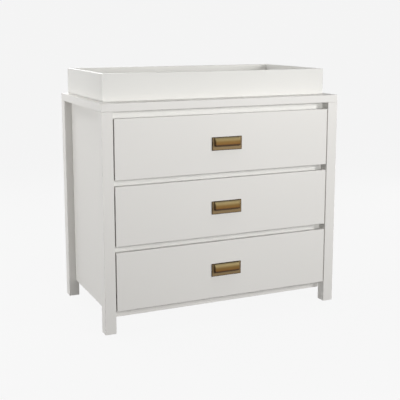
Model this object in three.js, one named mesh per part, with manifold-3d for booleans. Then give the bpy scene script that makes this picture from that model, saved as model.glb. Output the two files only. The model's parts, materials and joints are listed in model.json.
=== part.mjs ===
// A dresser of three drawers on four square legs, with an open changing tray on its top.
// Millimetres, +Z up. The drawers open towards -Y, and left is -X.
// The origin is on the floor, in the middle of the width and of the depth over the pulls
// and the bracket behind.

import * as THREE from "three";
import { mergeVertices } from "three/addons/utils/BufferGeometryUtils.js";
import Module from "manifold-3d";

const wasm = await Module();
wasm.setup();

// ---- Driving dimensions ----

// Case
const caseWidth = 930;
const caseDepth = 508;
const caseHeight = 807;
const topThickness = 27.5;
const legSize = 40;
const sideThickness = 12;
const sideFloorGap = 62;
const railThickness = 15;
const topRailHeight = 35;
const dividerHeight = 45;
const bottomRailFloorGap = 46.7;
const rearRailHeight = 60;
const backThickness = 3;
const backInset = 8;

// Tray
const trayHeight = 96;
const trayBoard = 15;
const traySideInset = 25.6;
const trayFrontInset = 65;
const trayRearInset = 4.7;
const bracketWidth = 80;
const bracketThickness = 2;
const bracketRise = 40;
const bracketDrop = 20;

// Drawers, from the floor up
const drawerNames = ["bottom", "middle", "top"];
const frontThickness = 16;
const frontFloorGap = 79.8;
const frontTopGap = 24.6;
const frontSideGap = 4;
const drawerGap = 22;
const boxBoard = 12;
const boxHeadroom = 20;
const boxPastRunner = 20;
const bottomThickness = 3;
const bottomRise = 10;
const grooveDepth = 6;

// Runners and their rollers
const runnerRoom = 12.5;
const runnerLengthStep = 50;
const runnerOverRail = 6.5;
const runnerSetback = 2;
const sheet = 1.2;
const rollerRadius = 9;
const rollerFromEnd = 12;
const pinRadius = 2.4;
const pinHeadRadius = 4;
const pinHeadThickness = 0.8;
const captureRoom = 2;
const sheetRoom = 1;
const footWidth = 11;

// Pulls
const plateWidth = 118;
const plateHeight = 48;
const plateThickness = 4;
const hoodWidth = 100;
const hoodHeight = 30;
const hoodReach = 11;
const hoodWall = 2;
const hoodTopInset = 2;
const hoodFullness = 0.75;
const windowDrop = 3;
const screwSpacing = 80;
const screwAboveLip = 18;
const bossRadius = 4;
const screwHoleRadius = 2.5;

// Clearances
const seat = 0.3;
const rollerPlay = 0.5;

// ---- Sizes that follow from them ----

const topUnderside = caseHeight - topThickness;
const openingHalf = caseWidth / 2 - legSize;
const pullProjection = plateThickness + hoodReach;
const overallDepth = pullProjection + caseDepth + seat + bracketThickness;
const caseFrontY = pullProjection - overallDepth / 2;

const frontsSpan = topUnderside - frontTopGap - frontFloorGap;
const frontHeight = (frontsSpan - drawerGap * (drawerNames.length - 1)) / drawerNames.length;
const frontWidth = 2 * (openingHalf - frontSideGap);
const frontPitch = frontHeight + drawerGap;

// A divider is centred on the gap between two fronts, and every drawer clears the rail
// under it by the same height.
const dividerOverFront = (dividerHeight - drawerGap) / 2;
const runnerBase = dividerOverFront + runnerOverRail;
const boxBase = runnerBase + sheet + seat;
const boxHeight = frontPitch - dividerHeight - runnerOverRail - sheet - seat - boxHeadroom;
const boxHalf = openingHalf - runnerRoom;
const grooveWidth = bottomThickness + 2 * seat;
const railFront = legSize + seat;

// Runners come in whole steps of length, and take the longest that the case sides hold.
const sideDepth = caseDepth - 2 * (legSize + seat);
const runnerLength = runnerLengthStep * Math.floor((sideDepth - runnerSetback) / runnerLengthStep);
const boxLength = runnerLength + boxPastRunner;

// Heights in a runner, over the underside of its ledge
const caseRollerAxis = sheet + rollerPlay + rollerRadius;
const drawerRollerAxis = sheet + seat + rollerRadius;
const flangeUnderside = caseRollerAxis + rollerRadius + seat;
const captureUnderside = flangeUnderside + sheet + captureRoom;

// ---- Finishes ----

function finish(color, roughness, metalness) {
  return new THREE.MeshStandardMaterial({ color, roughness, metalness });
}

const whiteLaminate = finish("#dcdad5", 0.5, 0);
const boxFoil = finish("#d8d5ce", 0.55, 0);
const whiteHardboard = finish("#d6d3cb", 0.6, 0);
const antiqueBrass = finish("#8f7540", 0.35, 1);
const enamelledSteel = finish("#dfdfdc", 0.4, 0.2);
const zincSteel = finish("#b4b7ba", 0.35, 1);
const nylon = finish("#efeeea", 0.5, 0);

// ---- Shape helpers ----

function place(parent, name, geometry, material, position) {
  const mesh = new THREE.Mesh(geometry, material);
  mesh.name = name;
  mesh.position.set(...position);
  parent.add(mesh);
}

// A rectangular board, given where it starts and ends along X, Y and Z.
function board(parent, name, material, [left, right], [front, back], [bottom, top]) {
  const geometry = new THREE.BoxGeometry(right - left, back - front, top - bottom);
  const middle = [(left + right) / 2, (front + back) / 2, (bottom + top) / 2];
  place(parent, name, geometry, material, middle);
}

function extrude(points, length) {
  const outline = new THREE.Shape(points.map(([across, up]) => new THREE.Vector2(across, up)));
  return new THREE.ExtrudeGeometry(outline, { depth: length, bevelEnabled: false });
}

// An outline of (x, z) points, run from y = 0 to y = length.
function alongY(points, length) {
  return extrude(points, length).rotateX(Math.PI / 2).translate(0, length, 0);
}

// An outline of (y, z) points, run along X and centred on x = 0.
function alongX(points, length) {
  return extrude(points, length).rotateX(Math.PI / 2).rotateZ(Math.PI / 2).translate(-length / 2, 0, 0);
}

// A round bar on the X axis, from x = start to x = end.
function barAlongX(radius, start, end) {
  const bar = new THREE.CylinderGeometry(radius, radius, Math.abs(end - start), 24);
  return bar.rotateZ(Math.PI / 2).translate((start + end) / 2, 0, 0);
}

// A round bar on the Y axis, from y = start to y = end.
function barAlongY(radius, start, end) {
  return new THREE.CylinderGeometry(radius, radius, end - start, 20).translate(0, (start + end) / 2, 0);
}

function solidOf(geometry) {
  const bare = geometry.clone();
  bare.deleteAttribute("normal");
  bare.deleteAttribute("uv");
  const merged = mergeVertices(bare, 1e-4);
  return new wasm.Manifold(new wasm.Mesh({
    numProp: 3,
    vertProperties: merged.attributes.position.array,
    triVerts: Uint32Array.from(merged.index.array),
  }));
}

function geometryOf(solid) {
  const { vertProperties, triVerts } = solid.getMesh();
  const geometry = new THREE.BufferGeometry();
  geometry.setAttribute("position", new THREE.BufferAttribute(vertProperties, 3));
  geometry.setIndex(new THREE.BufferAttribute(triVerts, 1));
  geometry.computeVertexNormals();
  return geometry;
}

function joined(...geometries) {
  return geometryOf(geometries.map(solidOf).reduce((whole, piece) => whole.add(piece)));
}

function cut(geometry, ...tools) {
  return geometryOf(tools.map(solidOf).reduce((rest, tool) => rest.subtract(tool), solidOf(geometry)));
}

const sides = [
  { name: "left", sign: -1 },
  { name: "right", sign: 1 },
];

// ---- Case: inside this group y = 0 is the plane of the drawer fronts ----

const changingTable = new THREE.Group();
changingTable.position.y = caseFrontY;

board(changingTable, "top_panel", whiteLaminate,
  [-caseWidth / 2, caseWidth / 2], [0, caseDepth], [topUnderside, caseHeight]);

// The back panel slides down a groove in the inner face of each rear leg.
const backRear = caseDepth - backInset - seat;
const backFront = backRear - backThickness;

function legOutline(sign, isRear) {
  const outer = legSize / 2;
  const grooveBack = outer - backInset;
  const grooveFront = grooveBack - backThickness - 2 * seat;
  const inner = -outer;
  const groove = [[inner, grooveFront], [inner + grooveDepth, grooveFront],
    [inner + grooveDepth, grooveBack], [inner, grooveBack]];
  const points = [[outer, outer], [outer, -outer], [inner, -outer], ...(isRear ? groove : []), [inner, outer]];
  return points.map(([x, y]) => [sign * x, y]);
}

for (const { name, sign } of sides) {
  for (const isRear of [false, true]) {
    const leg = extrude(legOutline(sign, isRear), topUnderside - seat);
    const x = sign * (caseWidth - legSize) / 2;
    const y = isRear ? caseDepth - legSize / 2 : legSize / 2;
    place(changingTable, `${isRear ? "rear" : "front"}_${name}_leg`, leg, whiteLaminate, [x, y, 0]);
  }
  const faces = [sign * openingHalf, sign * (openingHalf + sideThickness)].sort((a, b) => a - b);
  board(changingTable, `${name}_side_panel`, whiteLaminate,
    faces, [legSize + seat, caseDepth - legSize - seat], [sideFloorGap, topUnderside - seat]);
}

function rail(name, front, bottom, height) {
  board(changingTable, name, whiteLaminate,
    [seat - openingHalf, openingHalf - seat], [front, front + railThickness], [bottom, bottom + height]);
}

rail("top_front_rail", railFront, topUnderside - seat - topRailHeight, topRailHeight);
for (const [index, name] of ["lower_divider_rail", "upper_divider_rail"].entries()) {
  const gapMiddle = frontFloorGap + (index + 1) * frontPitch - drawerGap / 2;
  rail(name, railFront, gapMiddle - dividerHeight / 2, dividerHeight);
}
rail("bottom_front_rail", railFront, bottomRailFloorGap,
  frontFloorGap + dividerOverFront - bottomRailFloorGap);
rail("rear_bottom_rail", backFront - seat - railThickness, sideFloorGap, rearRailHeight);

const backHalf = openingHalf + grooveDepth - seat;
board(changingTable, "back_panel", whiteHardboard,
  [-backHalf, backHalf], [backFront, backRear], [sideFloorGap, topUnderside - seat]);

// ---- Tray: four boards stood on the top panel, held by a bracket behind ----

const trayHalf = caseWidth / 2 - traySideInset;
const trayBack = caseDepth - trayRearInset;
const trayUpright = [caseHeight + seat, caseHeight + trayHeight];

board(changingTable, "tray_front_board", whiteLaminate,
  [-trayHalf, trayHalf], [trayFrontInset, trayFrontInset + trayBoard], trayUpright);
board(changingTable, "tray_back_board", whiteLaminate,
  [-trayHalf, trayHalf], [trayBack - trayBoard, trayBack], trayUpright);
for (const { name, sign } of sides) {
  const faces = [sign * trayHalf, sign * (trayHalf - trayBoard)].sort((a, b) => a - b);
  board(changingTable, `tray_${name}_board`, whiteLaminate,
    faces, [trayFrontInset + trayBoard + seat, trayBack - trayBoard - seat], trayUpright);
}

// The bracket steps in from the top panel's rear edge to the tray's rear face.
function trayBracket() {
  const onCase = caseDepth + seat;
  const onTray = trayBack + seat;
  const step = caseHeight + seat;
  return alongX([
    [onCase, caseHeight - bracketDrop],
    [onCase + bracketThickness, caseHeight - bracketDrop],
    [onCase + bracketThickness, step + bracketThickness],
    [onTray + bracketThickness, step + bracketThickness],
    [onTray + bracketThickness, caseHeight + bracketRise],
    [onTray, caseHeight + bracketRise],
    [onTray, step],
    [onCase, step],
  ], bracketWidth);
}

place(changingTable, "tray_bracket", trayBracket(), zincSteel, [0, 0, 0]);

// ---- Runners: a roller at the front of the case runner carries the drawer runner's flange,
// and a roller at the rear of the drawer runner rolls on the case runner's ledge.
// "In" counts from the case side's inner face (x = 0) towards the drawer. ----

const drawerSheetIn = runnerRoom - seat - sheet;
const ledgeEndIn = drawerSheetIn - sheetRoom;
const caseHeadIn = ledgeEndIn;
const caseRollerIn = [seat + sheet + rollerPlay, caseHeadIn - pinHeadThickness - seat];
const flangeEndIn = seat + sheet + sheetRoom + rollerPlay;
const drawerHeadIn = flangeEndIn;
const drawerRollerIn = [drawerHeadIn + pinHeadThickness + seat, drawerSheetIn - rollerPlay];

function towardsDrawer(points, sign) {
  return points.map(([inwards, up]) => [-sign * inwards, up]);
}

function pinWithHead(sign, root, headStart, headEnd) {
  return [
    barAlongX(pinRadius, -sign * root, -sign * headEnd),
    barAlongX(pinHeadRadius, -sign * headStart, -sign * headEnd),
  ];
}

function caseRunner(sign) {
  const channel = alongY(towardsDrawer([
    [seat, 0],
    [ledgeEndIn, 0],
    [ledgeEndIn, sheet],
    [seat + sheet, sheet],
    [seat + sheet, captureUnderside],
    [runnerRoom / 2, captureUnderside],
    [runnerRoom / 2, captureUnderside + sheet],
    [seat, captureUnderside + sheet],
  ], sign), runnerLength);
  const pin = pinWithHead(sign, seat + sheet / 2, caseHeadIn - pinHeadThickness, caseHeadIn)
    .map((bar) => bar.translate(0, rollerFromEnd, caseRollerAxis));
  return joined(channel, ...pin);
}

// The drawer runner wraps the lower edge of the box side, and its flange turns out on top.
function drawerRunner(sign) {
  const inner = runnerRoom - seat;
  const profile = alongY(towardsDrawer([
    [drawerSheetIn, 0],
    [inner + footWidth, 0],
    [inner + footWidth, sheet],
    [inner, sheet],
    [inner, flangeUnderside + sheet],
    [flangeEndIn, flangeUnderside + sheet],
    [flangeEndIn, flangeUnderside],
    [drawerSheetIn, flangeUnderside],
  ], sign), runnerLength);
  const pin = pinWithHead(sign, drawerSheetIn + sheet / 2, drawerHeadIn + pinHeadThickness, drawerHeadIn)
    .map((bar) => bar.translate(0, runnerLength - rollerFromEnd, drawerRollerAxis));
  return joined(profile, ...pin);
}

function roller([start, end]) {
  const half = (end - start) / 2;
  const bore = pinRadius + seat;
  const section = [[bore, -half], [rollerRadius, -half], [rollerRadius, half], [bore, half], [bore, -half]];
  const ring = new THREE.LatheGeometry(section.map(([r, h]) => new THREE.Vector2(r, h)), 32);
  return ring.rotateZ(-Math.PI / 2);
}

function middleOf([start, end]) {
  return (start + end) / 2;
}

// ---- Pull: a flat plate with a rounded hood that is open below, and two bosses for screws.
// y = 0 is the drawer front's face, and z = 0 is the middle of the plate. ----

const lipHeight = plateHeight / 2 - hoodTopInset - hoodHeight;
const screwHeight = lipHeight + screwAboveLip;

// A quarter of a full oval, from the lip up to the plate.
function hoodCurve(reach, height) {
  const steps = 10;
  return Array.from({ length: steps + 1 }, (_, step) => {
    const angle = (step / steps) * (Math.PI / 2);
    const out = reach * Math.cos(angle) ** hoodFullness;
    const up = height * Math.sin(angle) ** hoodFullness;
    return [-plateThickness - out, lipHeight + up];
  });
}

function pull() {
  const halfHeight = plateHeight / 2;
  const plate = alongX([[-plateThickness, -halfHeight], [-seat, -halfHeight],
    [-seat, halfHeight], [-plateThickness, halfHeight]], plateWidth);
  const insidePlate = -plateThickness / 2;
  const hood = alongX([[insidePlate, lipHeight], ...hoodCurve(hoodReach, hoodHeight),
    [insidePlate, plateHeight / 2 - hoodTopInset]], hoodWidth);
  const innerReach = hoodReach - hoodWall;
  const innerHeight = hoodHeight - hoodWall;
  const hollow = alongX([
    [plateThickness, lipHeight - windowDrop],
    [-plateThickness - innerReach, lipHeight - windowDrop],
    ...hoodCurve(innerReach, innerHeight),
    [plateThickness, lipHeight + innerHeight],
  ], hoodWidth - 2 * hoodWall);
  const shell = cut(joined(plate, hood), hollow);
  const bosses = sides.map(({ sign }) => barAlongY(bossRadius, -plateThickness - innerReach / 2, -seat)
    .translate(sign * screwSpacing / 2, 0, screwHeight));
  const bossRoots = sides.map(({ sign }) => barAlongY(screwHoleRadius, -plateThickness - innerReach, -seat)
    .translate(sign * screwSpacing / 2, 0, screwHeight));
  return joined(shell, ...bosses, ...bossRoots);
}

// ---- Drawers: each one is a group whose z = 0 is the lower edge of its front ----

const boxFront = frontThickness + seat;
const boxRear = boxFront + boxLength;
const grooveBase = boxBase + bottomRise;
const innerHalf = boxHalf - boxBoard;

function drawerFront() {
  const slab = new THREE.BoxGeometry(frontWidth, frontThickness, frontHeight)
    .translate(0, frontThickness / 2, frontHeight / 2);
  const groove = new THREE.BoxGeometry(2 * (innerHalf + grooveDepth), 2 * grooveDepth, grooveWidth)
    .translate(0, frontThickness, grooveBase + grooveWidth / 2);
  const screwHoles = sides.map(({ sign }) => barAlongY(screwHoleRadius, -frontThickness, 2 * frontThickness)
    .translate(sign * screwSpacing / 2, 0, frontHeight / 2 + screwHeight));
  return cut(slab, groove, ...screwHoles);
}

// The groove for the bottom runs the whole length of a side, in its inner face.
function boxSide(sign) {
  return alongY([
    [boxHalf, 0],
    [boxHalf, boxHeight],
    [innerHalf, boxHeight],
    [innerHalf, bottomRise + grooveWidth],
    [innerHalf + grooveDepth, bottomRise + grooveWidth],
    [innerHalf + grooveDepth, bottomRise],
    [innerHalf, bottomRise],
    [innerHalf, 0],
  ].map(([x, z]) => [sign * x, z]), boxLength);
}

function drawer(drawerName, base) {
  const group = new THREE.Group();
  group.position.z = base;
  changingTable.add(group);
  const piece = (suffix) => `${drawerName}_drawer_${suffix}`;
  const bottomLow = grooveBase + seat;
  const bottomTop = bottomLow + bottomThickness;
  const bottomHalf = innerHalf + grooveDepth - seat;

  place(group, piece("front"), drawerFront(), whiteLaminate, [0, 0, 0]);
  place(group, piece("pull"), pull(), antiqueBrass, [0, 0, frontHeight / 2]);
  board(group, piece("bottom"), whiteHardboard,
    [-bottomHalf, bottomHalf], [frontThickness - grooveDepth + seat, boxRear], [bottomLow, bottomTop]);
  board(group, piece("back"), boxFoil,
    [seat - innerHalf, innerHalf - seat], [boxRear - boxBoard, boxRear], [bottomTop + seat, boxBase + boxHeight]);

  for (const { name, sign } of sides) {
    place(group, piece(`${name}_side`), boxSide(sign), boxFoil, [0, boxFront, boxBase]);
    const caseSide = sign * openingHalf;
    const caseRunnerY = railFront + runnerSetback;
    place(group, `${drawerName}_${name}_case_runner`, caseRunner(sign), enamelledSteel,
      [caseSide, caseRunnerY, runnerBase]);
    place(group, `${drawerName}_${name}_case_roller`, roller(caseRollerIn), nylon,
      [caseSide - sign * middleOf(caseRollerIn), caseRunnerY + rollerFromEnd, runnerBase + caseRollerAxis]);
    const drawerRunnerY = boxFront + runnerSetback;
    const drawerRollerY = drawerRunnerY + runnerLength - rollerFromEnd;
    place(group, piece(`${name}_runner`), drawerRunner(sign), enamelledSteel,
      [caseSide, drawerRunnerY, runnerBase]);
    place(group, piece(`${name}_roller`), roller(drawerRollerIn), nylon,
      [caseSide - sign * middleOf(drawerRollerIn), drawerRollerY, runnerBase + drawerRollerAxis]);
  }
}

for (const [index, drawerName] of drawerNames.entries()) {
  drawer(drawerName, frontFloorGap + index * frontPitch);
}

export default changingTable;
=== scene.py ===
import json
import math

import bmesh
import bpy
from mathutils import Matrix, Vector


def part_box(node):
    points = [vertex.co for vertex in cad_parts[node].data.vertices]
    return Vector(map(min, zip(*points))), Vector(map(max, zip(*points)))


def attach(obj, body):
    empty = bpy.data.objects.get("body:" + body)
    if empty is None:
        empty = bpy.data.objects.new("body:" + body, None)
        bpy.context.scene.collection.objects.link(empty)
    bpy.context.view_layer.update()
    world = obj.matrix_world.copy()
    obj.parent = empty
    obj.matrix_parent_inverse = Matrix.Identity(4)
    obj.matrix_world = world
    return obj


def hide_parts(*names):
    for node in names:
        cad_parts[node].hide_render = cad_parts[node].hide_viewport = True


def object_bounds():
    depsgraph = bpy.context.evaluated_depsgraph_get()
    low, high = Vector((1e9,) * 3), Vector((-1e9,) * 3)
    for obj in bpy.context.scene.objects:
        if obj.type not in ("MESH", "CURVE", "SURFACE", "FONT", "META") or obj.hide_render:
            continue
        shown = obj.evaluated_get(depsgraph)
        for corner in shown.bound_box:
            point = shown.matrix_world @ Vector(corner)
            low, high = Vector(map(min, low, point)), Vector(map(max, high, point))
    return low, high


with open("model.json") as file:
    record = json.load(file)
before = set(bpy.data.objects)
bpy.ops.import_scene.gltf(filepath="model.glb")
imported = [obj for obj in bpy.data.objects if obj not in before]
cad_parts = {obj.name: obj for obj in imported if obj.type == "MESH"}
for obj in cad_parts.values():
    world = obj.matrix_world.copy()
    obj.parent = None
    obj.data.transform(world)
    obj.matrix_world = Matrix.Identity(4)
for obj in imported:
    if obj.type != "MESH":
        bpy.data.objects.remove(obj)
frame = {"nodes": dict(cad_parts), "record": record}
cad_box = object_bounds()
scene = bpy.context.scene


# ---- Studio ----
# A pale seamless sweep. The soft key light stands low on the right, with weaker ones in front,
# at the sides, behind, above, and under the floor, which they shine through. The camera stands
# to the left of the middle, a little above the table, and looks slightly down.

def linear(*levels):
    """A colour given in the usual 0 to 255 levels, as the renderer's linear RGBA."""
    shares = [level / 255 for level in levels]
    light = [s / 12.92 if s <= 0.04045 else ((s + 0.055) / 1.055) ** 2.4 for s in shares]
    return (*light, 1.0)


def add_object(name, data):
    made = bpy.data.objects.new(name, data)
    scene.collection.objects.link(made)
    return made


camera_data = bpy.data.cameras.new("studio_camera")
camera_data.sensor_width = 36.0
camera_data.lens = 73.26
camera_data.shift_y = -0.08
camera = add_object("studio_camera", camera_data)
camera.location = (-1.2748, -2.8380, 1.0567)
camera_pan = math.radians(24.304)
camera_tilt = math.radians(9.781)
camera.rotation_euler = (math.pi / 2 - camera_tilt, 0, -camera_pan)
scene.camera = camera
scene.view_settings.view_transform = "Standard"

studio_white = linear(246, 246, 246)
sky = bpy.data.worlds.new("studio_sky")
sky.use_nodes = True
sky.node_tree.nodes["Background"].inputs["Color"].default_value = studio_white
sky.node_tree.nodes["Background"].inputs["Strength"].default_value = 0.075
scene.world = sky

object_middle = (cad_box[0] + cad_box[1]) / 2


def soft_light(name, place, width, height, power, glint=True):
    """A rectangular light that looks at the middle of the table and isn't seen itself."""
    data = bpy.data.lights.new(name, "AREA")
    data.shape = "RECTANGLE"
    data.size = width
    data.size_y = height
    data.energy = power
    light = add_object(name, data)
    light.location = place
    way = object_middle - light.location
    light.rotation_euler = way.to_track_quat("-Z", "Y").to_euler()
    light.visible_camera = False
    light.visible_glossy = glint


soft_light("key_light", (2.0, -2.8, 1.4), 0.7, 0.9, 51)
soft_light("front_light", (-0.4, -2.8, 1.03), 0.7, 0.7, 29.5)
soft_light("left_light", (-2.8, 0.1, 0.6), 0.9, 0.9, 34, glint=False)
soft_light("high_left_light", (-1.2, 1.2, 2.2), 1.2, 1.2, 20)
soft_light("back_light", (0.0, 2.2, 1.8), 1.2, 1.2, 22)
soft_light("top_light", (0.3, -1.0, 2.8), 1.2, 1.2, 10)
soft_light("right_light", (2.8, 0.8, 0.8), 0.9, 0.9, 26, glint=False)
soft_light("bounce_light", (-0.2, 0.0, -0.6), 0.6, 0.6, 2.5, glint=False)


class Wire:
    """A shader socket that arithmetic works on: each operation adds one Math node."""

    def __init__(self, finish, socket):
        self.finish = finish
        self.socket = socket

    def math(self, operation, *values, clamp=False):
        return self.finish.node("Math", {"operation": operation, "use_clamp": clamp}, values)

    def __add__(self, other):
        return self.math("ADD", self, other)

    def __radd__(self, other):
        return self.math("ADD", other, self)

    def __sub__(self, other):
        return self.math("SUBTRACT", self, other)

    def __rsub__(self, other):
        return self.math("SUBTRACT", other, self)

    def __mul__(self, other):
        return self.math("MULTIPLY", self, other)

    def __rmul__(self, other):
        return self.math("MULTIPLY", other, self)

    def __truediv__(self, other):
        return self.math("DIVIDE", self, other)

    def __abs__(self):
        return self.math("ABSOLUTE", self)

    def clamped(self):
        return self.math("ADD", self, 0.0, clamp=True)

    def at_most(self, other):
        return self.math("MINIMUM", self, other)

    def at_least(self, other):
        return self.math("MAXIMUM", self, other)


class Finish:
    """A material. Its nodes are added one call at a time, and end on its one surface shader."""

    def __init__(self, name):
        self.material = bpy.data.materials.new(name)
        self.material.use_nodes = True
        self.tree = self.material.node_tree
        self.surface = self.tree.nodes["Principled BSDF"]

    def node(self, kind, settings=None, sockets=(), output=0):
        """Adds one shader node: its settings first, then values or wires on its sockets."""
        made = self.tree.nodes.new("ShaderNode" + kind)
        for key, value in (settings or {}).items():
            setattr(made, key, value)
        pairs = sockets.items() if isinstance(sockets, dict) else enumerate(sockets)
        for key, value in pairs:
            self.plug(made.inputs[key], value)
        return Wire(self, made.outputs[output])

    def plug(self, socket, value):
        if isinstance(value, Wire):
            self.tree.links.new(value.socket, socket)
        else:
            socket.default_value = value

    def set(self, **values):
        """Values or wires for the surface shader, with _ for the spaces in a socket's name."""
        for name, value in values.items():
            self.plug(self.surface.inputs[name.replace("_", " ")], value)
        return self

    def place(self):
        return self.node("TexCoord", output="Object")

    def noise(self, scale, detail=2.0, stretch=(1, 1, 1)):
        """Noise with features about 1 / scale metres across, drawn out along an axis by stretch."""
        drawn_out = self.node("Mapping", {}, {"Vector": self.place(), "Scale": stretch})
        sockets = {"Vector": drawn_out, "Scale": scale, "Detail": detail, "Roughness": 0.55}
        return self.node("TexNoise", {}, sockets, output="Fac")

    def blend(self, share, first, second):
        return self.node("Mix", {"data_type": "RGBA"}, {0: share, 6: first, 7: second}, output=2)

    def bump(self, height, depth):
        """A Normal wire from a 0 to 1 height that stands for depth metres."""
        return self.node("Bump", {}, {"Strength": 1.0, "Distance": depth, "Height": height})


on_axis = 1e-9
touching = 1e-7
turned_crease = math.radians(35)


def turned(name, profile, steps=20):
    """A solid turned about Z from (radius, height) points that start and end on the axis."""
    mesh = bpy.data.meshes.new(name)
    work = bmesh.new()
    rings = []
    for radius, height in profile:
        if radius < on_axis:
            rings.append([work.verts.new((0, 0, height))])
            continue
        angles = [2 * math.pi * step / steps for step in range(steps)]
        rings.append([work.verts.new((radius * math.cos(angle), radius * math.sin(angle), height))
                      for angle in angles])
    for lower, upper in zip(rings, rings[1:]):
        for step in range(steps):
            following = (step + 1) % steps
            corners = [lower[step % len(lower)], lower[following % len(lower)],
                       upper[following % len(upper)], upper[step % len(upper)]]
            work.faces.new(list(dict.fromkeys(corners)))
    bmesh.ops.remove_doubles(work, verts=work.verts, dist=touching)
    bmesh.ops.recalc_face_normals(work, faces=work.faces)
    for face in work.faces:
        face.smooth = True
    work.to_mesh(mesh)
    work.free()
    mesh.set_sharp_from_angle(angle=turned_crease)
    return add_object(name, mesh)


sweep_finish = Finish("studio_sweep")
sweep_finish.set(
    Base_Color=sweep_finish.blend(sweep_finish.noise(3.0), linear(48, 48, 48), linear(50, 50, 50)),
    Roughness=0.9,
    Specular_IOR_Level=0.0,
    Emission_Color=studio_white,
    Emission_Strength=0.98,
)
sweep_finish.material.cycles.emission_sampling = "NONE"
sweep_radius = 12.0
sweep_height = 7.0
cove_radius = 4.0
cove_steps = 12
cove_turns = [math.pi / 2 * step / cove_steps for step in range(cove_steps + 1)]
cove = [(sweep_radius - cove_radius + cove_radius * math.sin(turn),
         cove_radius - cove_radius * math.cos(turn)) for turn in cove_turns]
sweep = turned("studio_sweep", [(0, 0), *cove, (sweep_radius, sweep_height)], 96)
sweep.data.materials.append(sweep_finish.material)
sweep.visible_diffuse = False
sweep.visible_shadow = False


# ---- Legs ----
# Four posts 40 mm square, from the floor to the top panel. Each is built up from composite
# board and wrapped in warm white laminate, and the rear two are grooved for the back panel.

def laminate(name, shaded, pale):
    """A white wrapping foil: a faint drift of tone and the fine tooth of its print."""
    foil = Finish(name)
    foil.set(
        Base_Color=foil.blend(foil.noise(2.2, 1.0), shaded, pale),
        Roughness=0.40 + 0.10 * foil.noise(30.0, 3.0),
        Specular_IOR_Level=0.4,
        Normal=foil.bump(foil.noise(650.0, 3.0), 0.00004),
    )
    return foil


white_laminate = laminate("white_laminate", linear(228, 226, 222), linear(232, 230, 226))

body_of_node = {
    node: body for body, nodes in frame["record"]["behaviour"]["bodies"].items() for node in nodes
}


def finished(piece, finish, slot, body, *stands_for):
    """Gives a piece its material and its place in the table."""
    piece.data.materials.clear()
    piece.data.materials.append(finish.material)
    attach(piece, body)
    if stands_for:
        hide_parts(*stands_for)
    return piece


weld = 0.00001
flat_angle = math.radians(0.5)
corner_angle = math.radians(40)


def eased(node, finish, slot, ease):
    """The node's solid with its long outer edges rounded over by ease metres."""
    work = bmesh.new()
    work.from_mesh(frame["nodes"][node].data)
    bmesh.ops.remove_doubles(work, verts=work.verts, dist=weld)
    bmesh.ops.dissolve_limit(work, angle_limit=flat_angle, verts=work.verts, edges=work.edges)
    for face in work.faces:
        face.smooth = False
    outer = [edge for edge in work.edges
             if edge.is_manifold and edge.is_convex and edge.calc_length() > 4 * ease
             and edge.calc_face_angle() > corner_angle]
    rounded = bmesh.ops.bevel(work, geom=outer, offset=ease, segments=3, profile=0.5,
                              affect="EDGES", clamp_overlap=False)
    for face in rounded["faces"]:
        face.smooth = True
    mesh = bpy.data.meshes.new(node + "_eased")
    work.to_mesh(mesh)
    work.free()
    return finished(add_object(node + "_eased", mesh), finish, slot, body_of_node[node], node)


board_ease = 0.0009
for leg in ("front_left_leg", "front_right_leg", "rear_left_leg", "rear_right_leg"):
    eased(leg, white_laminate, "white_laminate", board_ease)


# ---- Side panels and rails ----
# The sides are 12 mm boards set back between the legs. Four rails cross the front behind the
# drawer fronts, and one crosses low at the rear. The upper three front rails get a paler copy of
# the white laminate: painted light, standing for the light that reaches them through the gaps.
# Cam fittings inside the boards draw them up.

# Painted light: the rails between the drawers get a paler copy of the white laminate.
rail_painted_light_laminate = laminate("rail_painted_light_laminate", linear(242, 241, 237), linear(246, 245, 241))
for board in ("left_side_panel", "right_side_panel", "top_front_rail", "upper_divider_rail",
              "lower_divider_rail", "bottom_front_rail", "rear_bottom_rail"):
    between_drawers = board.endswith(("top_front_rail", "divider_rail"))
    eased(board, rail_painted_light_laminate if between_drawers else white_laminate, "white_laminate", board_ease)


# ---- Back panel ----
# A 3 mm hardboard sheet painted white, folded once for packing and hinged by a paper tape.
# It slides down the grooves of the rear legs and is nailed to the rear rail.

white_hardboard = Finish("white_hardboard")
fibres = white_hardboard.noise(420.0, 4.0, (1, 1, 0.35))
white_hardboard.set(
    Base_Color=white_hardboard.blend(fibres, linear(216, 213, 205), linear(228, 225, 218)),
    Roughness=0.55 + 0.15 * fibres,
    Specular_IOR_Level=0.35,
    Normal=white_hardboard.bump(fibres, 0.00006),
)
sheet_board_ease = 0.0003
eased("back_panel", white_hardboard, "white_hardboard", sheet_board_ease)

tape_width = 0.024
tape_thickness = 0.0002
tape_end_gap = 0.001
back_low, back_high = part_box("back_panel")


def slab(low, high):
    """A closed box mesh between two corners."""
    mesh = bpy.data.meshes.new("slab")
    work = bmesh.new()
    bmesh.ops.create_cube(work, size=1.0)
    for vertex in work.verts:
        share = vertex.co + Vector((0.5, 0.5, 0.5))
        vertex.co = [low[axis] + share[axis] * (high[axis] - low[axis]) for axis in range(3)]
    work.to_mesh(mesh)
    work.free()
    return mesh


def round_edges(piece, width, segments=2):
    rounding = piece.modifiers.new("eased_edges", "BEVEL")
    rounding.width = width
    rounding.segments = segments
    rounding.limit_method = "ANGLE"
    return piece


paper_tape = Finish("paper_tape")
paper_fibres = paper_tape.noise(900.0, 3.0)
paper_tape.set(
    Base_Color=paper_tape.blend(paper_fibres, linear(222, 220, 213), linear(232, 230, 224)),
    Roughness=0.8,
    Normal=paper_tape.bump(paper_tape.noise(1400.0, 2.0), 0.00003),
)
tape = add_object("back_panel_hinge_tape", slab(
    (-tape_width / 2, back_high.y, back_low.z + tape_end_gap),
    (tape_width / 2, back_high.y + tape_thickness, back_high.z - tape_end_gap)))
finished(tape, paper_tape, "white_hardboard", "case")


# Fixings: screws, nails, cams and caps are one turned head each, copied to every place.

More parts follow.
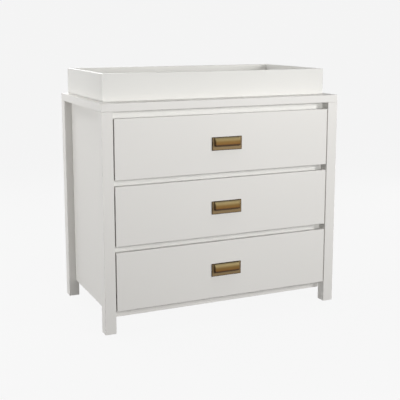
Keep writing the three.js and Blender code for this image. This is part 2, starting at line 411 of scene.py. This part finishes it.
def carved(piece, *tools):
    """Cuts each tool out of a piece and removes the tool."""
    for tool in tools:
        carve(piece, tool, "DIFFERENCE")
    return piece


def carve(piece, tool, operation):
    boolean = piece.modifiers.new("carve", "BOOLEAN")
    boolean.operation = operation
    boolean.solver = "EXACT"
    boolean.object = tool
    harden(piece)
    bpy.data.objects.remove(tool)
    return piece


def harden(piece):
    """Replaces a piece's mesh by what its modifiers make of it, and drops them."""
    shown = piece.evaluated_get(bpy.context.evaluated_depsgraph_get())
    result = bpy.data.meshes.new_from_object(shown)
    piece.modifiers.clear()
    piece.data = result
    return piece


wing_share = 0.22


def cross_recess(width, top, depth):
    """The two crossed slots of a cross-head driver, sunk to depth below top."""
    tools = []
    for along, across in ((width, width * wing_share), (width * wing_share, width)):
        low = (-along / 2, -across / 2, top - depth)
        high = (along / 2, across / 2, top + depth)
        tools.append(add_object("recess", slab(low, high)))
    return tools


def dome(radius, height, rim, steps=4):
    """The profile of a shallow dome of that height on a rim, from its underside to its top."""
    arc = [(radius * math.cos(turn), rim + (height - rim) * math.sin(turn))
           for turn in (math.pi / 2 * step / steps for step in range(steps))]
    return [(0, 0), (radius, 0), *arc, (0, height)]


screw_head = carved(turned("screw_head", dome(1.0, 0.42, 0.12)), *cross_recess(1.05, 0.42, 0.2))
nail_head = turned("nail_head", dome(1.0, 0.22, 0.1, 2), 12)
cam_head = carved(turned("cam_head", [(0, 0), (1, 0), (1, 0.03), (0.97, 0.045), (0, 0.045)], 28),
                  *cross_recess(1.2, 0.045, 0.03))
cap_head = turned("cap_head", dome(1.0, 0.13, 0.04), 28)
for head in (screw_head, nail_head, cam_head, cap_head):
    head.hide_render = True
    head.hide_viewport = True


def fixing_tree():
    """Copies a head to every point of a mesh, faces it along the point's way, and turns it."""
    tree = bpy.data.node_groups.new("set_of_fixings", "GeometryNodeTree")
    for name, kind in (("Places", "Geometry"), ("Head", "Object"), ("Half width", "Float"),
                       ("Finish", "Material")):
        tree.interface.new_socket(name, in_out="INPUT", socket_type="NodeSocket" + kind)
    tree.interface.new_socket("Fixings", in_out="OUTPUT", socket_type="NodeSocketGeometry")

    def step(kind, settings=None, **links):
        made = tree.nodes.new(kind)
        for key, value in (settings or {}).items():
            setattr(made, key, value)
        for socket, source in links.items():
            target = made.inputs[socket.replace("_", " ")]
            if isinstance(source, bpy.types.NodeSocket):
                tree.links.new(source, target)
            else:
                target.default_value = source
        return made

    given = step("NodeGroupInput").outputs
    head = step("GeometryNodeObjectInfo", {"transform_space": "ORIGINAL"}, Object=given["Head"])
    way = step("GeometryNodeInputNamedAttribute", {"data_type": "FLOAT_VECTOR"}, Name="facing")
    aimed = step("FunctionNodeAlignRotationToVector", {"axis": "Z"},
                 Vector=way.outputs["Attribute"])
    chance = step("FunctionNodeRandomValue", {"data_type": "FLOAT"}, Seed=7)
    chance.inputs[3].default_value = 2 * math.pi
    spin = step("FunctionNodeAxisAngleToRotation", Axis=(0, 0, 1), Angle=chance.outputs[1])
    facing = step("FunctionNodeRotateRotation", {"rotation_space": "LOCAL"},
                  Rotation=aimed.outputs["Rotation"], Rotate_By=spin.outputs["Rotation"])
    points = step("GeometryNodeMeshToPoints", Mesh=given["Places"])
    copies = step("GeometryNodeInstanceOnPoints", Points=points.outputs["Points"],
                  Instance=head.outputs["Geometry"], Rotation=facing.outputs["Rotation"],
                  Scale=given["Half width"])
    solid = step("GeometryNodeRealizeInstances", Geometry=copies.outputs["Instances"])
    dressed = step("GeometryNodeSetMaterial", Geometry=solid.outputs["Geometry"],
                   Material=given["Finish"])
    ending = tree.nodes.new("NodeGroupOutput")
    tree.links.new(dressed.outputs["Geometry"], ending.inputs["Fixings"])
    return tree


fixings_tree = fixing_tree()
fixings_input = {socket.name: socket.identifier for socket in fixings_tree.interface.items_tree
                 if socket.in_out == "INPUT"}


def fixings(name, body, slot, finish, head, half_width, spots):
    """One mesh of like fixings. Each spot is a point on a face and the way the head looks."""
    mesh = bpy.data.meshes.new(name)
    mesh.from_pydata([place for place, _ in spots], [], [])
    ways = mesh.attributes.new("facing", "FLOAT_VECTOR", "POINT")
    for index, (_, way) in enumerate(spots):
        ways.data[index].vector = way
    piece = add_object(name, mesh)
    maker = piece.modifiers.new("fixings", "NODES")
    maker.node_group = fixings_tree
    maker[fixings_input["Head"]] = head
    maker[fixings_input["Half width"]] = half_width
    maker[fixings_input["Finish"]] = finish.material
    harden(piece)
    return finished(piece, finish, slot, body)


zinc = Finish("zinc_plated_steel")
zinc_cloud = zinc.noise(260.0, 3.0)
zinc.set(
    Base_Color=zinc.blend(zinc_cloud, linear(128, 131, 135), linear(158, 161, 164)),
    Metallic=1.0,
    Roughness=0.26 + 0.2 * zinc_cloud,
)


def spread(low, high, count):
    return [low + (high - low) * index / (count - 1) for index in range(count)]


nail_half_width = 0.0028
nail_margin = 0.035
nail_count = 9
rail_low, rail_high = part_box("rear_bottom_rail")
nail_height = (rail_low.z + rail_high.z) / 2
nail_line = spread(rail_low.x + nail_margin, rail_high.x - nail_margin, nail_count)
fixings("back_panel_nails", "case", "zinc_plated_steel", zinc, nail_head, nail_half_width,
        [((x, back_high.y, nail_height), (0, 1, 0)) for x in nail_line])


# ---- Top panel ----
# One 27.5 mm board over the legs, flush with them all round, its edges banded and eased.

eased("top_panel", white_laminate, "white_laminate", board_ease)


# ---- Runners ----
# Pairs of rolled steel channels in white enamel. The case one is screwed to the side and has
# its nylon roller in front; the drawer one wraps the box's lower edge and has it at the rear.

enamel = Finish("white_enamel")
enamel_skin = enamel.noise(900.0, 2.0)
enamel.set(
    Base_Color=enamel.blend(enamel.noise(25.0), linear(222, 222, 219), linear(230, 230, 227)),
    Roughness=0.22 + 0.12 * enamel_skin,
    Coat_Weight=0.25,
    Normal=enamel.bump(enamel_skin, 0.00003),
)

nylon = Finish("white_nylon")
nylon_cloud = nylon.noise(180.0, 2.0)
nylon.set(
    Base_Color=nylon.blend(nylon_cloud, linear(226, 224, 216), linear(236, 235, 229)),
    Roughness=0.42 + 0.12 * nylon_cloud,
    Subsurface_Weight=0.15,
    Subsurface_Radius=(0.002, 0.0016, 0.0012),
)

drawer_names = ("bottom", "middle", "top")
side_signs = {"left": -1, "right": 1}
sheet_ease = 0.0004

bore_share = 0.31
hub_width = 0.0018
hub_slope = 0.0006
dish_depth = 0.0012
rim_width = 0.0014
rim_slope = 0.0006
tread_chamfer = 0.0006
tread_crown = 0.0001


def nylon_roller(node):
    """A wheel with a crowned tread, dished faces and a hub round its rivet."""
    low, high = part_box(node)
    middle = (low + high) / 2
    radius = (high.z - low.z) / 2
    half = (high.x - low.x) / 2
    bore = radius * bore_share
    rim = radius - tread_chamfer - rim_width
    near_half = [
        (bore, -half), (bore + hub_width, -half),
        (bore + hub_width + hub_slope, dish_depth - half),
        (rim - rim_slope, dish_depth - half), (rim, -half), (radius - tread_chamfer, -half),
        (radius - tread_crown, tread_chamfer - half),
    ]
    far_half = [(out, -along) for out, along in reversed(near_half)]
    wheel = turned(node + "_turned", [*near_half, (radius, 0), *far_half, near_half[0]], 40)
    for vertex in wheel.data.vertices:
        across, up, along = vertex.co
        vertex.co = (middle.x + along, middle.y + across, middle.z + up)
    return finished(wheel, nylon, "nylon", body_of_node[node], node)


case_screws = []
runner_screw_half = 0.0030
runner_screw_stations = (0.045, 0.200, 0.355)
runner_sheet = 0.0012
for drawer in drawer_names:
    for side, sign in side_signs.items():
        case_runner = f"{drawer}_{side}_case_runner"
        eased(case_runner, enamel, "enamelled_steel", sheet_ease)
        nylon_roller(f"{drawer}_{side}_case_roller")
        low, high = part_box(case_runner)
        web_face = sign * (max(abs(low.x), abs(high.x)) - runner_sheet)
        height = (low.z + high.z) / 2
        for station in runner_screw_stations:
            case_screws.append(((web_face, low.y + station, height), (-sign, 0, 0)))
fixings("case_runner_screws", "case", "zinc_plated_steel", zinc, screw_head, runner_screw_half,
        case_screws)


# ---- Drawer boxes ----
# Sides and backs of 12 mm board wrapped in a pale foil, with a 3 mm hardboard bottom held in
# grooves. Cams draw the sides to the front; flush screws hold them to the back.

box_foil = Finish("drawer_box_foil")
foil_grain = box_foil.noise(120.0, 4.0, (6, 0.25, 6))
box_foil.set(
    Base_Color=box_foil.blend(foil_grain, linear(219, 216, 208), linear(229, 227, 220)),
    Roughness=0.42 + 0.14 * foil_grain,
    Specular_IOR_Level=0.4,
    Normal=box_foil.bump(foil_grain, 0.00008),
)

cap_plastic = Finish("white_cap_plastic")
cap_cloud = cap_plastic.noise(200.0)
cap_plastic.set(
    Base_Color=cap_plastic.blend(cap_cloud, linear(228, 227, 222), linear(234, 233, 229)),
    Roughness=0.38,
)

foil_ease = 0.0006
cam_half_width = 0.0075
cam_from_front = 0.034
side_fixing_shares = (0.32, 0.78)
box_screw_half = 0.0035
foot_screw_half = 0.0030
bottom_nail_half = 0.0022
bottom_nail_margin = 0.06
bottom_nail_count = 6
for drawer in drawer_names:
    body = f"{drawer}_drawer"
    cams, flush_screws, foot_screws = [], [], []
    eased(f"{body}_back", box_foil, "drawer_box_foil", foil_ease)
    eased(f"{body}_bottom", white_hardboard, "white_hardboard", sheet_board_ease)
    back_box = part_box(f"{body}_back")
    bottom_low, bottom_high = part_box(f"{body}_bottom")
    back_middle = (back_box[0].y + back_box[1].y) / 2
    for side, sign in side_signs.items():
        eased(f"{body}_{side}_side", box_foil, "drawer_box_foil", foil_ease)
        eased(f"{body}_{side}_runner", enamel, "enamelled_steel", sheet_ease)
        nylon_roller(f"{body}_{side}_roller")
        low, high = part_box(f"{body}_{side}_side")
        outer = sign * max(abs(low.x), abs(high.x))
        for share in side_fixing_shares:
            height = low.z + share * (high.z - low.z)
            cams.append(((outer, low.y + cam_from_front, height), (sign, 0, 0)))
            flush_screws.append(((outer, back_middle, height), (sign, 0, 0)))
        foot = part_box(f"{body}_{side}_runner")[0]
        for station in runner_screw_stations:
            place = ((low.x + high.x) / 2, foot.y + station, foot.z)
            foot_screws.append((place, (0, 0, -1)))
    nail_line = spread(bottom_low.x + bottom_nail_margin, bottom_high.x - bottom_nail_margin,
                       bottom_nail_count)
    nails = [((x, back_middle, bottom_low.z), (0, 0, -1)) for x in nail_line]
    for name, head, half_width, spots in (
            ("cams", cam_head, cam_half_width, cams),
            ("back_screws", cam_head, box_screw_half, flush_screws),
            ("runner_screws", screw_head, foot_screw_half, foot_screws),
            ("bottom_nails", nail_head, bottom_nail_half, nails)):
        fixings(f"{body}_{name}", body, "zinc_plated_steel", zinc, head, half_width, spots)


# ---- Drawer fronts ----
# Plain inset slabs of 16 mm board in the same laminate as the case, banded on all four edges,
# with an even shadow gap all round. Two screws through each one hold its pull.

for drawer in drawer_names:
    eased(f"{drawer}_drawer_front", white_laminate, "white_laminate", board_ease)


# ---- Pulls ----
# A cast zinc plate with a hollow hood that is open below for the fingers, plated in antique
# brass and brushed. Its colour holds painted light: the hood is painted paler towards its top,
# paler there than the plate, as a painted reflection. Painted shade darkens it towards its lip,
# down its two ends and round the plate's rim. In the corners where hood meets plate the brown is
# partly patina and partly painted shade.

plate_thickness = 0.004
plate_seat = 0.0003
plate_round = 0.0008
cast_round = 0.0004
hood_half_width = 0.050
hood_height = 0.030
hood_reach = 0.011
hood_wall = 0.002
hood_top_inset = 0.002
hood_squareness = 10.0
hood_fullness = 0.75
window_drop = 0.003
cup_back = 0.0009
boss_radius = 0.004
boss_half_spacing = 0.040
boss_over_lip = 0.018
boss_reach_share = 0.55
flat_face_area = 0.00014
sliver_width = 0.000003
hood_turn_steps = 40
hood_rise_steps = 14


def hood_solid(half_width, reach, height, lip, foot, rear):
    """A closed body with the hood's rounded front, a flat rear face and a flat foot."""
    turns = [math.pi * step / hood_turn_steps - math.pi / 2 for step in range(hood_turn_steps + 1)]
    rises = [math.pi / 2 * step / hood_rise_steps for step in range(hood_rise_steps + 1)]
    levels = [(foot, 1.0)] if foot < lip else []
    for rise in rises:
        up = math.sin(rise) ** hood_fullness
        levels.append((lip + height * up, max(math.cos(rise), 0.0) ** hood_fullness))
    work = bmesh.new()
    rings = []
    power = 2 / hood_squareness
    for level, fullness in levels:
        ring = []
        for turn in turns:
            across = math.copysign(abs(math.sin(turn)) ** power, turn) * half_width
            out = plate_thickness + reach * fullness * max(math.cos(turn), 0.0) ** power
            ring.append(work.verts.new((across, -out, level)))
        ring.append(work.verts.new((half_width, -rear, level)))
        ring.append(work.verts.new((-half_width, -rear, level)))
        rings.append(ring)
    for lower, upper in zip(rings, rings[1:]):
        for index in range(len(lower)):
            following = (index + 1) % len(lower)
            work.faces.new((lower[index], lower[following], upper[following], upper[index]))
    work.faces.new(rings[0][::-1])
    work.faces.new(rings[-1])
    bmesh.ops.remove_doubles(work, verts=work.verts, dist=touching)
    bmesh.ops.recalc_face_normals(work, faces=work.faces)
    mesh = bpy.data.meshes.new("hood")
    work.to_mesh(mesh)
    work.free()
    return add_object("hood", mesh)


def boss(across, up, out):
    """A round post for a screw, from the plate's back out to the hood."""
    post = turned("boss", [(0, 0), (boss_radius, 0), (boss_radius, out), (0, out)], 24)
    for vertex in post.data.vertices:
        x, y, along = vertex.co
        vertex.co = (across + x, -plate_seat - along, up + y)
    work = bmesh.new()
    work.from_mesh(post.data)
    bmesh.ops.recalc_face_normals(work, faces=work.faces)
    work.to_mesh(post.data)
    work.free()
    return post


def cleaned(piece):
    """Closes up the slivers that the cuts and the roundings leave."""
    work = bmesh.new()
    work.from_mesh(piece.data)
    bmesh.ops.remove_doubles(work, verts=work.verts, dist=sliver_width)
    bmesh.ops.dissolve_degenerate(work, edges=work.edges, dist=sliver_width)
    work.to_mesh(piece.data)
    work.free()
    return piece


def cast_pull(plate_half_width, plate_half_height):
    """The pull about its own middle, with its back on y = 0 and its front towards -Y."""
    lip = plate_half_height - hood_top_inset - hood_height
    pull = add_object("pull", slab((-plate_half_width, -plate_thickness, -plate_half_height),
                                   (plate_half_width, -plate_seat, plate_half_height)))
    harden(round_edges(pull, plate_round, 3))
    hood = hood_solid(hood_half_width, hood_reach, hood_height, lip, lip, plate_thickness / 2)
    hollow = hood_solid(hood_half_width - hood_wall, hood_reach - hood_wall,
                        hood_height - hood_wall, lip, lip - window_drop, plate_seat + cup_back)
    carve(pull, hood, "UNION")
    carve(pull, hollow, "DIFFERENCE")
    boss_depth = plate_thickness + hood_reach * boss_reach_share
    for sign in side_signs.values():
        carve(pull, boss(sign * boss_half_spacing, lip + boss_over_lip, boss_depth), "UNION")
    return cleaned(harden(round_edges(pull, cast_round, 2)))


brass = Finish("antique_brass")
pull_place = brass.node("Attribute", {"attribute_name": "pull_place"}, output="Vector")
across, out, up = [brass.node("SeparateXYZ", {}, [pull_place], output=axis) for axis in range(3)]
pull_low, pull_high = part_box("top_drawer_pull")
plate_half_width = (pull_high.x - pull_low.x) / 2
plate_half_height = (pull_high.z - pull_low.z) / 2
lip_height = plate_half_height - hood_top_inset - hood_height
brushing = brass.noise(9.0, 5.0, (6, 60, 160))
stain = brass.noise(95.0, 3.0)

hood_start = 0.0006
hood_start_width = 0.0008
hood_front_share = 0.6
hood_front_width = 0.002
# Widths of the pull's dark marks: patina and painted shade in the hood/plate corners, painted shade
# round the rim, down the hood's ends and towards the lip.
corner_patina_and_shade_width = 0.0016
corner_patina_and_shade_reach = 0.005
rim_painted_shade_width = 0.0016
hood_end_painted_shade_width = 0.0025
lip_painted_shade_height = 0.0058

over_plate = -1 * out - plate_thickness
over_lip = up - lip_height
on_hood = ((over_plate - hood_start) / hood_start_width).clamped()
on_hood_front = ((over_plate - hood_front_share * hood_reach) / hood_front_width).clamped()
beside_hood = (abs(across) - hood_half_width).at_least(lip_height - up)
beside_hood = beside_hood.at_least(up - lip_height - hood_height)
# Brown where hood meets plate: partly patina in the corner, partly painted shade on the hood's end
# faces next to the plate.
near_plate = (1.1 - over_plate / corner_patina_and_shade_reach).clamped()
corner_patina_and_painted_shade = (1 - abs(beside_hood) / corner_patina_and_shade_width).clamped() * near_plate
# Painted shade: a dark band round the plate's rim and over its side faces.
rim_distance = (plate_half_width - abs(across)).at_most(plate_half_height - abs(up))
rim_painted_shade = (1.6 - rim_distance / rim_painted_shade_width).clamped()
# Painted shade: dark lines down the hood's two ends.
end_distance = hood_half_width - abs(across)
hood_end_painted_shade = (1.4 - end_distance / hood_end_painted_shade_width).clamped() * on_hood_front
# Painted shade: the hood darkens towards its lip.
lip_painted_shade = (1.25 - over_lip / lip_painted_shade_height).clamped() * on_hood
# All the dark marks together with random stains: painted shade mixed with real patina and stains;
# the base colour, metal and roughness follow it.
edge_patina_and_painted_shade = corner_patina_and_painted_shade.at_least(rim_painted_shade).at_least(0.7 * hood_end_painted_shade)
patina_and_painted_shade = (edge_patina_and_painted_shade + lip_painted_shade + 0.24 * stain - 0.08).clamped()

# Painted reflection and shade: the hood's tone runs from a dark orange-brown at its lip to a pale
# brass at its top, paler there than the plate.
height_on_hood = (over_lip / hood_height).clamped()
plate_tone = brass.blend(brushing, linear(116, 97, 68), linear(132, 113, 82))
lower_hood_painted_shade = brass.blend((2 * height_on_hood).clamped(), linear(119, 78, 28), linear(110, 86, 44))
hood_painted_reflection_tone = brass.blend((2 * height_on_hood - 1).clamped(), lower_hood_painted_shade, linear(155, 141, 102))
brass_with_painted_reflection = brass.blend(on_hood, plate_tone, hood_painted_reflection_tone)
brass.set(
    Base_Color=brass.blend(patina_and_painted_shade, brass_with_painted_reflection, linear(50, 31, 7)),
    Metallic=0.75 - 0.45 * patina_and_painted_shade,
    Roughness=0.56 + 0.10 * brushing + 0.12 * patina_and_painted_shade,
    Normal=brass.bump(brushing, 0.00002),
)

screw_half_width = 0.0040
cast_crease = math.radians(30)
for drawer in drawer_names:
    body = f"{drawer}_drawer"
    node = f"{body}_pull"
    low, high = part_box(node)
    front_low, front_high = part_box(f"{body}_front")
    middle = Vector(((low.x + high.x) / 2, front_low.y, (low.z + high.z) / 2))
    pull = cast_pull(plate_half_width, plate_half_height)
    pull.name = node + "_cast"
    places = pull.data.attributes.new("pull_place", "FLOAT_VECTOR", "POINT")
    for vertex, place in zip(pull.data.vertices, places.data):
        place.vector = vertex.co
        vertex.co += middle
    pull.data.set_sharp_from_angle(angle=cast_crease)
    for face in pull.data.polygons:
        face.use_smooth = face.area < flat_face_area
    finished(pull, brass, "antique_brass", body, node)
    screw_height = middle.z + lip_height + boss_over_lip
    fixings(f"{body}_pull_screws", body, "zinc_plated_steel", zinc, screw_head, screw_half_width,
            [((middle.x + sign * boss_half_spacing, front_high.y, screw_height), (0, 1, 0))
             for sign in side_signs.values()])


# ---- Changing tray ----
# Four 15 mm boards on edge, stood on the top panel: the front and back run the whole width
# and the sides fit between them. A stepped steel strip screws it to the case behind.

# Painted shade: the tray's boards get a slightly darker copy of the white laminate.
tray_painted_shade_laminate = laminate("tray_painted_shade_laminate", linear(223, 222, 218), linear(227, 226, 222))
for board in ("front", "back", "left", "right"):
    eased(f"tray_{board}_board", tray_painted_shade_laminate, "white_laminate", board_ease)
eased("tray_bracket", zinc, "zinc_plated_steel", sheet_ease)

bracket_low, bracket_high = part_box("tray_bracket")
case_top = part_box("top_panel")[1].z
strip_thickness = 0.002
bracket_screw_half = 0.0036
bracket_screw_margin = 0.018
upper_face = bracket_low.y + strip_thickness
bracket_screws = []
for x in spread(bracket_low.x + bracket_screw_margin, bracket_high.x - bracket_screw_margin, 2):
    bracket_screws.append(((x, bracket_high.y, (bracket_low.z + case_top) / 2), (0, 1, 0)))
    bracket_screws.append(((x, upper_face, (case_top + bracket_high.z) / 2), (0, 1, 0)))
fixings("tray_bracket_screws", "case", "zinc_plated_steel", zinc, screw_head,
        bracket_screw_half, bracket_screws)

cap_half_width = 0.0052
cap_from_front = 0.034
tray_fixing_shares = (0.28, 0.72)
tray_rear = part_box("tray_back_board")[1].y
tray_caps = []
for side, sign in side_signs.items():
    low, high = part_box(f"tray_{side}_board")
    inner = sign * min(abs(low.x), abs(high.x))
    for share in tray_fixing_shares:
        height = low.z + share * (high.z - low.z)
        tray_caps.append((((low.x + high.x) / 2, tray_rear, height), (0, 1, 0)))
        tray_caps.append(((inner, low.y + cap_from_front, height), (-sign, 0, 0)))
fixings("tray_fixing_caps", "case", "nylon", cap_plastic, cap_head, cap_half_width, tray_caps)

for head in (screw_head, nail_head, cam_head, cap_head):
    bpy.data.objects.remove(head)
